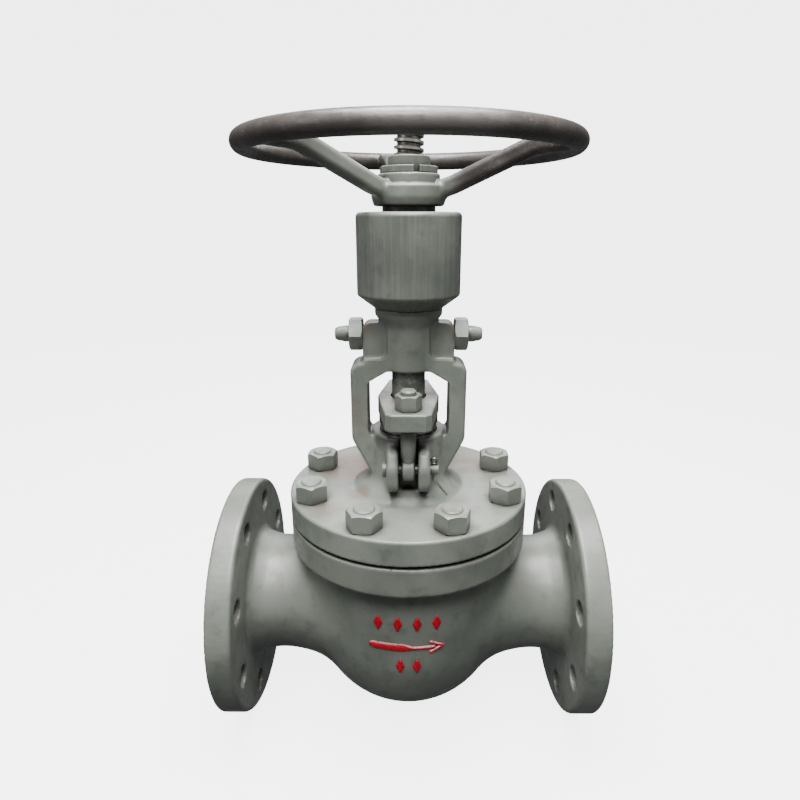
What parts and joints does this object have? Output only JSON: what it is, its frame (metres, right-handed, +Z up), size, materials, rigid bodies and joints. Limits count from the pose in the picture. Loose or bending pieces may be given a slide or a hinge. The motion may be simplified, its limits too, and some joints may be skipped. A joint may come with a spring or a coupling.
{
  "type": "flanged globe valve",
  "caption": "Flanged globe valve with bolted bonnet, outside-screw yoke, ball-thrust stem nut and dished handwheel that lifts a swivelling disc off its seat.",
  "frame": {"origin": "centre of the inlet flange's raised face, on the pipe axis", "axes": "+X along the pipe in the flow direction, from the inlet flange to the outlet flange; +Z up along the stem, towards the handwheel"},
  "size_m": [0.31, 0.2516, 0.486],
  "materials": {
    "body_paint": "semi-gloss",
    "fastener_paint": "semi-gloss",
    "wheel_paint": "satin, worn",
    "pin_steel": "satin",
    "stem_steel": "ground",
    "trim_steel": "machined",
    "nut_bronze": "machined",
    "bearing_steel": "polished",
    "cage_brass": "satin",
    "graphite": "matt",
    "seal_rubber": "matt"
  },
  "bodies": {
    "valve_frame": {"valve_body": "body_paint", "seat_ring": "trim_steel", "bonnet_gasket": "graphite", "bonnet_yoke": "body_paint", "bonnet_studs": "fastener_paint", "bonnet_nuts": "fastener_paint", "backseat_bush": "trim_steel", "packing_washer": "trim_steel", "packing_ring_1": "graphite", "packing_ring_2": "graphite", "packing_ring_3": "graphite", "packing_ring_4": "graphite", "packing_ring_5": "graphite", "gland_follower": "trim_steel", "gland_plate": "body_paint", "eyebolt_front": "fastener_paint", "eyebolt_pin_front": "pin_steel", "split_pin_front": "pin_steel", "gland_nut_front": "fastener_paint", "eyebolt_rear": "fastener_paint", "eyebolt_pin_rear": "pin_steel", "split_pin_rear": "pin_steel", "gland_nut_rear": "fastener_paint", "guide_screw_right": "fastener_paint", "lock_nut_right": "fastener_paint", "guide_screw_left": "fastener_paint", "lock_nut_left": "fastener_paint", "bearing_housing": "body_paint", "housing_cover": "body_paint", "dust_seal": "seal_rubber", "lower_bearing_housing_washer": "bearing_steel", "upper_bearing_housing_washer": "bearing_steel"},
    "handwheel_rotor": {"handwheel": "wheel_paint", "wheel_key": "pin_steel", "handwheel_nut": "fastener_paint", "stem_nut": "nut_bronze", "lower_bearing_shaft_washer": "bearing_steel", "upper_bearing_shaft_washer": "bearing_steel"},
    "lower_ball_set": {"lower_bearing_balls": "bearing_steel", "lower_bearing_cage": "cage_brass"},
    "upper_ball_set": {"upper_bearing_balls": "bearing_steel", "upper_bearing_cage": "cage_brass"},
    "stem": {"stem": "stem_steel"},
    "disc": {"disc": "trim_steel", "thrust_pad": "stem_steel", "disc_nut": "trim_steel", "disc_lock_screw": "pin_steel"}
  },
  "joints": [
    {"name": "handwheel_turn", "type": "hinge", "parent": "valve_frame", "child": "handwheel_rotor", "pos_m": [0.155, 0, 0.34], "axis": [0, 0, 1], "range_deg": [0, 1800]},
    {"name": "stem_lift", "type": "slide", "parent": "valve_frame", "child": "stem", "axis": [0, 0, 1], "range_m": [0, 0.025]},
    {"name": "lower_balls_roll", "type": "hinge", "parent": "valve_frame", "child": "lower_ball_set", "pos_m": [0.155, 0, 0.2835], "axis": [0, 0, 1], "range_deg": [0, 900]},
    {"name": "upper_balls_roll", "type": "hinge", "parent": "valve_frame", "child": "upper_ball_set", "pos_m": [0.155, 0, 0.3065], "axis": [0, 0, 1], "range_deg": [0, 900]},
    {"name": "disc_swivel", "type": "hinge", "parent": "stem", "child": "disc", "pos_m": [0.155, 0, 0.03], "axis": [0, 0, 1], "continuous": true}
  ],
  "couplings": [
    {"joint": "stem_lift", "follows": "handwheel_turn", "m_per_rad": 0.00079577},
    {"joint": "lower_balls_roll", "follows": "handwheel_turn", "ratio": 0.5},
    {"joint": "upper_balls_roll", "follows": "handwheel_turn", "ratio": 0.5}
  ]
}
